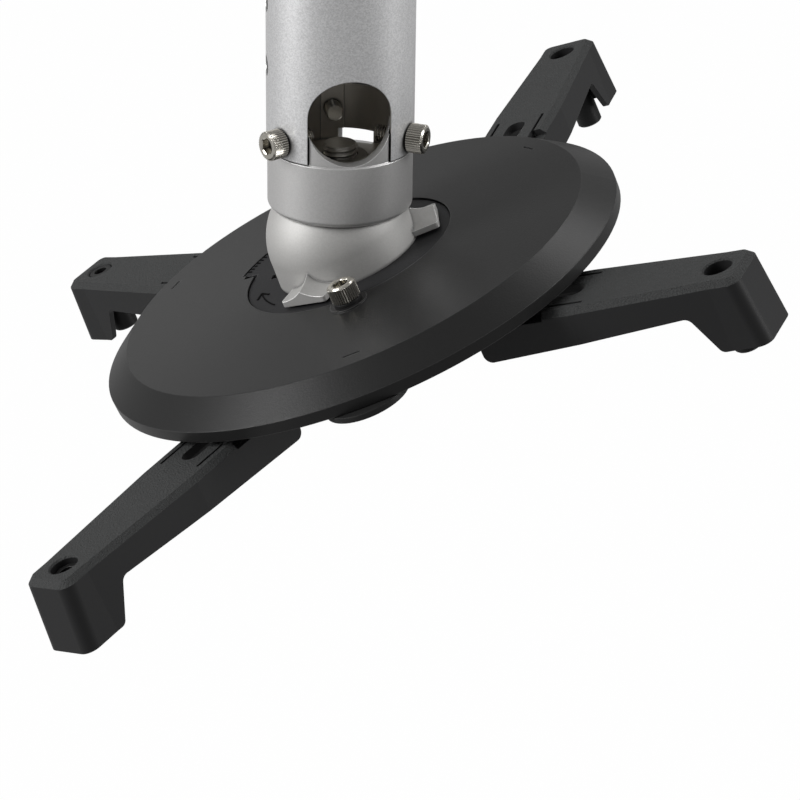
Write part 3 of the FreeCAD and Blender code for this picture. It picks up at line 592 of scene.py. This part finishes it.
# %% [markdown]
# ## Screws with knurls and threads
#
# The mount is closed by socket head cap screws. A real one has a knurled head, so that fingers can
# start it, a chamfered rim round its six-sided socket, and a rolled thread. A bump in the finish could
# suggest a knurl, but the head's outline would stay smooth, so it is made as a shape. All of it follows
# a rule, so Geometry Nodes make it. A flat grid is wrapped round an axis: its columns go round, and its
# rows follow the screw's profile. Points that meet at the seam and at the two ends are merged, so the
# mesh is closed.

# %% Small helpers for geometry trees


def new_tree(name, inputs):
    tree = bpy.data.node_groups.new(name, "GeometryNodeTree")
    kinds = {float: "NodeSocketFloat", int: "NodeSocketInt"}
    for label, value in inputs.items():
        socket = tree.interface.new_socket(label, in_out="INPUT", socket_type=kinds[type(value)])
        socket.default_value = value
    tree.interface.new_socket("finish", in_out="INPUT", socket_type="NodeSocketMaterial")
    tree.interface.new_socket("Geometry", in_out="OUTPUT", socket_type="NodeSocketGeometry")
    return tree, node(tree, "NodeGroupInput").outputs, node(tree, "NodeGroupOutput").inputs


def calc(tree, operation, *values):
    made = node(tree, "ShaderNodeMath", operation=operation)
    for socket, value in zip(made.inputs, values):
        feed(tree, socket, value)
    return made.outputs[0]


def place_at(tree, x, y, z):
    made = node(tree, "ShaderNodeCombineXYZ")
    for socket, value in zip(made.inputs, (x, y, z)):
        feed(tree, socket, value)
    return made.outputs[0]


def round_place(tree, radius, turn, height):
    across = calc(tree, "MULTIPLY", radius, calc(tree, "COSINE", turn))
    along = calc(tree, "MULTIPLY", radius, calc(tree, "SINE", turn))
    return place_at(tree, across, along, height)


def wrapped_grid(tree, columns, rows):
    # Gives the grid with the turn and the row of each point.
    grid = node(tree, "GeometryNodeMeshGrid")
    feed(tree, grid.inputs["Vertices X"], columns)
    feed(tree, grid.inputs["Vertices Y"], rows)
    index = node(tree, "GeometryNodeInputIndex").outputs[0]
    column = calc(tree, "FLOOR", calc(tree, "DIVIDE", calc(tree, "ADD", index, 0.5), rows))
    row = calc(tree, "SUBTRACT", index, calc(tree, "MULTIPLY", column, rows))
    last = calc(tree, "SUBTRACT", columns, 1.0)
    turn = calc(tree, "MULTIPLY", calc(tree, "DIVIDE", column, last), math.tau)
    return grid.outputs["Mesh"], turn, row


def closed_surface(tree, grid, radius, turn, height):
    moved = node(tree, "GeometryNodeSetPosition")
    tree.links.new(grid, moved.inputs["Geometry"])
    tree.links.new(round_place(tree, radius, turn, height), moved.inputs["Position"])
    merged = node(tree, "GeometryNodeMergeByDistance")
    merged.inputs["Distance"].default_value = 0.002 * mm
    tree.links.new(moved.outputs[0], merged.inputs["Geometry"])
    return merged.outputs[0]


def pick(tree, row, values):
    # The value that belongs to a row of the profile.
    switch = node(tree, "GeometryNodeIndexSwitch", data_type="FLOAT")
    while len(switch.index_switch_items) < len(values):
        switch.index_switch_items.new()
    tree.links.new(calc(tree, "ROUND", row), switch.inputs["Index"])
    for place, value in enumerate(values):
        feed(tree, switch.inputs[place + 1], value)
    return switch.outputs[0]


print("geometry helpers ready")

# %% [markdown]
# The head's profile has ten rows, from the middle of its underside, up the knurled side and over the
# rim, to the middle of the socket's floor. The knurl is a zigzag in the radius, four points to each
# tooth. The thread is a zigzag too, but its phase moves on with the turn, which makes it a helix.

# %% The screw's head and its thread
head_rows = 10
rows_per_pitch = 6.0


def knurled_head(tree, given):
    teeth = given["knurls"]
    columns = calc(tree, "ADD", calc(tree, "MULTIPLY", teeth, 4.0), 1.0)
    grid, turn, row = wrapped_grid(tree, columns, head_rows)
    radius, height = given["head_radius"], given["head_height"]
    edge, depth = given["edge"], given["knurl_depth"]
    tooth = calc(tree, "PINGPONG", calc(tree, "MULTIPLY", calc(tree, "DIVIDE", turn, math.tau),
                                        calc(tree, "MULTIPLY", teeth, 2.0)), 1.0)
    side = calc(tree, "SUBTRACT", radius, calc(tree, "MULTIPLY", tooth, depth))
    sixth = math.tau / 6
    mouth_edge, foot_edge, foot_height = 0.15 * mm, 0.2 * mm, 0.3 * mm
    wrapped = calc(tree, "FLOORED_MODULO", turn, sixth)
    corner = calc(tree, "COSINE", calc(tree, "SUBTRACT", wrapped, sixth / 2))
    socket = calc(tree, "DIVIDE", calc(tree, "MULTIPLY", given["socket_flats"], 0.5), corner)
    neck = calc(tree, "SUBTRACT", radius, depth)
    rim = calc(tree, "SUBTRACT", neck, edge)
    corners = calc(tree, "MULTIPLY", given["socket_flats"], 0.5 / math.cos(sixth / 2))
    mouth = calc(tree, "ADD", corners, mouth_edge)
    lower = calc(tree, "SUBTRACT", radius, calc(tree, "ADD", depth, foot_edge))
    top = calc(tree, "SUBTRACT", height, edge)
    floor = calc(tree, "SUBTRACT", height, given["socket_depth"])
    mouth_level = calc(tree, "SUBTRACT", height, 2 * mouth_edge)
    reach = pick(tree, row, [0.0, lower, side, side, neck, rim, mouth, socket, socket, 0.0])
    level = pick(tree, row, [0.0, 0.0, foot_height, top, top, height, height, mouth_level, floor,
                             floor])
    return closed_surface(tree, grid, reach, turn, level)


def rolled_thread(tree, radius, bottom, top, pitch, depth, columns=24):
    # The rows run from the middle of the lower end to the middle of the upper end. Two extra rows at
    # each end close it.
    span = calc(tree, "SUBTRACT", top, bottom)
    fine_span = calc(tree, "MULTIPLY", span, rows_per_pitch)
    steps = calc(tree, "CEIL", calc(tree, "DIVIDE", fine_span, pitch))
    rows = calc(tree, "ADD", steps, 5.0)
    grid, turn, row = wrapped_grid(tree, columns + 1, rows)
    share = calc(tree, "DIVIDE", calc(tree, "SUBTRACT", row, 2.0), steps)
    inner = calc(tree, "MINIMUM", calc(tree, "MAXIMUM", share, 0.0), 1.0)
    height = calc(tree, "ADD", bottom, calc(tree, "MULTIPLY", inner, span))
    lead = calc(tree, "SUBTRACT", calc(tree, "DIVIDE", height, pitch),
                calc(tree, "DIVIDE", turn, math.tau))
    groove = calc(tree, "PINGPONG", calc(tree, "MULTIPLY", lead, 2.0), 1.0)
    thread = calc(tree, "SUBTRACT", radius, calc(tree, "MULTIPLY", groove, depth))
    from_end = calc(tree, "MINIMUM", calc(tree, "SUBTRACT", height, bottom),
                    calc(tree, "SUBTRACT", top, height))
    tip = calc(tree, "ADD", calc(tree, "SUBTRACT", radius, depth), from_end)
    thread = calc(tree, "MINIMUM", thread, tip)
    middle = calc(tree, "MULTIPLY", calc(tree, "GREATER_THAN", row, 0.5),
                  calc(tree, "LESS_THAN", row, calc(tree, "SUBTRACT", rows, 1.5)))
    reach = calc(tree, "MULTIPLY", thread, middle)
    return closed_surface(tree, grid, reach, turn, height)


print("head and thread ready")

# %% [markdown]
# One tree makes a whole ring of screws, because the screws of a ring differ only in where they sit.
# *Lean* is a quarter turn for a screw that lies flat with its head outwards, none for one that stands
# up, and a half turn for one that hangs head down. A second tree makes the clamp's stud.

# %% Trees for the screws and the stud


def join_up(tree, parts):
    joined = node(tree, "GeometryNodeJoinGeometry")
    for part in parts:
        tree.links.new(part, joined.inputs[0])
    return joined.outputs[0]


def finished(tree, geometry, given, result):
    real = node(tree, "GeometryNodeRealizeInstances")
    coat = node(tree, "GeometryNodeSetMaterial")
    tree.links.new(geometry, real.inputs[0])
    tree.links.new(real.outputs[0], coat.inputs["Geometry"])
    tree.links.new(given["finish"], coat.inputs["Material"])
    tree.links.new(coat.outputs[0], result["Geometry"])
    return tree


def along_arc(tree, piece, given, lean):
    # Copies of a piece on an arc round the frame's axis, each turned to face outwards.
    line = node(tree, "GeometryNodeMeshLine")
    tree.links.new(given["count"], line.inputs["Count"])
    index = node(tree, "GeometryNodeInputIndex").outputs[0]
    turn = calc(tree, "ADD", given["first_turn"], calc(tree, "MULTIPLY", index, given["step_turn"]))
    seats = node(tree, "GeometryNodeSetPosition")
    tree.links.new(line.outputs[0], seats.inputs["Geometry"])
    tree.links.new(round_place(tree, given["ring_radius"], turn, given["level"]),
                   seats.inputs["Position"])
    copies = node(tree, "GeometryNodeInstanceOnPoints")
    tree.links.new(seats.outputs[0], copies.inputs["Points"])
    tree.links.new(piece, copies.inputs["Instance"])
    tree.links.new(place_at(tree, 0.0, lean, turn), copies.inputs["Rotation"])
    return copies.outputs[0]


def screw_ring_tree():
    tree, given, result = new_tree("screw_ring", {
        "head_radius": 5.0 * mm, "head_height": 6.0 * mm, "edge": 0.5 * mm, "knurls": 36,
        "knurl_depth": 0.35 * mm, "socket_flats": 5.0 * mm, "socket_depth": 3.2 * mm,
        "thread_radius": 3.0 * mm, "pitch": 1.0 * mm, "thread_depth": 0.5 * mm,
        "length": 12.0 * mm, "count": 3, "ring_radius": 25.0 * mm, "level": 0.0,
        "first_turn": 0.0, "step_turn": math.tau / 3, "lean": math.pi / 2})
    into_head = 0.6 * mm
    bottom = calc(tree, "MULTIPLY", given["length"], -1.0)
    shank = rolled_thread(tree, given["thread_radius"], bottom, into_head, given["pitch"],
                          given["thread_depth"])
    screw = join_up(tree, [knurled_head(tree, given), shank])
    screws = along_arc(tree, screw, given, given["lean"])
    return finished(tree, screws, given, result)


def stud_tree():
    tree, given, result = new_tree("clamp_stud", {
        "thread_radius": 6.0 * mm, "pitch": 1.75 * mm, "thread_depth": 0.8 * mm,
        "thread_bottom": 25.0 * mm, "top": 34.0 * mm, "shank_radius": 5.0 * mm,
        "bottom": 2.0 * mm})
    overlap, shank_depth = 1.0 * mm, 0.3 * mm
    thread = rolled_thread(tree, given["thread_radius"], given["thread_bottom"], given["top"],
                           given["pitch"], given["thread_depth"], columns=48)
    shank_top = calc(tree, "ADD", given["thread_bottom"], overlap)
    shank = rolled_thread(tree, given["shank_radius"], given["bottom"], shank_top, given["pitch"],
                          shank_depth, columns=48)
    return finished(tree, join_up(tree, [thread, shank]), given, result)


screw_ring = screw_ring_tree()
clamp_stud = stud_tree()
print("trees", screw_ring.name, clamp_stud.name)

# %% [markdown]
# Each tree is run on an empty mesh. Its result is kept as a plain mesh, and the modifier goes, so that
# the piece can move with its body. Each new piece takes the place of the plain solid of that name.
# Levels are heights above the ball's centre, in the pole's frame or in the leaning head's.

# %% Run the trees
pole_frame = Matrix.Translation(ball)
head_frame = pole_frame @ Matrix((head_right, head_across, head_axis)).transposed().to_4x4()
pivot_to_head = 4.55 * mm


def grown(name, tree, finish, frame_matrix, **values):
    piece = bpy.data.objects.new(name, bpy.data.meshes.new(name))
    scene.collection.objects.link(piece)
    modifier = piece.modifiers.new("build", "NODES")
    modifier.node_group = tree
    sockets = {item.name: item.identifier for item in tree.interface.items_tree
               if item.in_out == "INPUT"}
    modifier[sockets["finish"]] = finish
    for label, value in values.items():
        modifier[sockets[label]] = value
    bpy.context.view_layer.update()
    result = piece.evaluated_get(bpy.context.evaluated_depsgraph_get())
    mesh = bpy.data.meshes.new_from_object(result)
    piece.modifiers.remove(modifier)
    piece.data = mesh
    mesh.name = name
    mesh.transform(frame_matrix)
    return piece


def stand_for(piece, part_name, body):
    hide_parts(part_name)
    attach(piece, body)
    print(piece.name, len(piece.data.polygons), "faces")


def screws_for(part_name, body, frame_matrix, **values):
    piece = grown(part_name + "_cut", screw_ring, nickel, frame_matrix, **values)
    stand_for(piece, part_name, body)


screws_for("collar_screws", "pole", pole_frame, ring_radius=25.0 * mm, level=39.5 * mm,
           first_turn=math.radians(-142), length=11.8 * mm)
screws_for("plate_screws", "ceiling", pole_frame, ring_radius=28.4 * mm, level=219.3 * mm,
           first_turn=math.radians(45), length=5.75 * mm)
screws_for("height_bolt", "pole", pole_frame, count=1, ring_radius=26.5 * mm, level=174.0 * mm,
           first_turn=math.radians(188), length=60.0 * mm)
screws_for("lock_screw", "head", head_frame, count=1, ring_radius=40.5 * mm, level=-6.3 * mm,
           first_turn=math.radians(-90), lean=0.0, length=14.0 * mm)
for letter in "abcd":
    bolt = head_frame.inverted() @ Vector(joints["arm_turn_" + letter]["pos_m"])
    screws_for("arm_screw_" + letter, "arm_clamp_" + letter, head_frame, count=1,
               ring_radius=math.hypot(bolt.x, bolt.y), first_turn=math.atan2(bolt.y, bolt.x),
               level=bolt.z - pivot_to_head, lean=math.pi, length=12.6 * mm)
stand_for(grown("clamp_bolt_cut", clamp_stud, dark_steel, pole_frame), "clamp_bolt", "clamp")

# %% [markdown]
# ## Marks in the recess
#
# Round the dome's foot the black ring carries moulded marks: an arrow for the way the dome turns home,
# and a row of ticks along the edge of the key. They stand up by about a fifth of a millimetre, and they
# are coloured nearly black, as painted shade along them. A picture laid on the ring could show them
# too, but raised marks catch the light as the real ones do.
# The ticks repeat along an arc, so a tree makes them. The arrow is a bent strip with two barbs, which a
# few points in the head's plane describe.

# %% Ticks and arrow
recess_floor = -8.3 * mm


def tick_tree():
    tree, given, result = new_tree("tick_row", {
        "count": 8, "ring_radius": 42.3 * mm, "level": recess_floor + 0.1 * mm,
        "first_turn": math.radians(133.5), "step_turn": math.radians(2.7), "long": 1.6 * mm,
        "wide": 0.35 * mm, "high": 0.3 * mm})
    bar = node(tree, "GeometryNodeMeshCube")
    tree.links.new(place_at(tree, given["long"], given["wide"], given["high"]), bar.inputs["Size"])
    ticks = along_arc(tree, bar.outputs["Mesh"], given, lean=0.0)
    return finished(tree, ticks, given, result)


def strip(mesh, points, width, low, high):
    # A bar of constant width along points in the head's plane, closed all round.
    rings = []
    for place, point in enumerate(points):
        before = points[max(place - 1, 0)]
        after = points[min(place + 1, len(points) - 1)]
        along = (after - before).normalized()
        side = Vector((-along.y, along.x)) * width / 2
        corners = [point + side, point - side]
        rings.append([mesh.verts.new((c.x, c.y, z)) for z in (low, high) for c in corners])
    for one, two in zip(rings, rings[1:]):
        for a, b in ((0, 1), (1, 3), (3, 2), (2, 0)):
            mesh.faces.new((one[a], one[b], two[b], two[a]))
    mesh.faces.new((rings[0][0], rings[0][2], rings[0][3], rings[0][1]))
    mesh.faces.new((rings[-1][1], rings[-1][3], rings[-1][2], rings[-1][0]))


def head_point(radius, azimuth):
    angle = math.radians(azimuth)
    return Vector((radius * math.cos(angle), radius * math.sin(angle)))


def make_arrow(name, tip_azimuth, tail_azimuth, radius, low, high):
    form = bmesh.new()
    steps = 12
    step = (tail_azimuth - tip_azimuth) / steps
    shaft = [head_point(radius, tip_azimuth + step * k) for k in range(steps + 1)]
    strip(form, shaft, width=0.5 * mm, low=low, high=high)
    past_tip, barb_turn, barb_reach = 0.5, 6.0, 2.2 * mm
    point = head_point(radius, tip_azimuth - past_tip)
    for side in (-1, 1):
        barb = head_point(radius + side * barb_reach, tip_azimuth + barb_turn)
        strip(form, [point, barb], width=0.8 * mm, low=low, high=high)
    bmesh.ops.recalc_face_normals(form, faces=form.faces)
    mesh = bpy.data.meshes.new(name)
    form.to_mesh(mesh)
    form.free()
    mesh.transform(head_frame)
    mesh.materials.append(shaded_mark_black)
    arrow = bpy.data.objects.new(name, mesh)
    scene.collection.objects.link(arrow)
    return arrow


marks = [grown("recess_ticks", tick_tree(), shaded_mark_black, head_frame),
         make_arrow("recess_arrow", tip_azimuth=-173.0, tail_azimuth=-147.0, radius=32.6 * mm,
                    low=recess_floor - 0.1 * mm, high=recess_floor + 0.2 * mm)]
for mark in marks:
    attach(mark, "head")
    print(mark.name, len(mark.data.polygons), "faces")
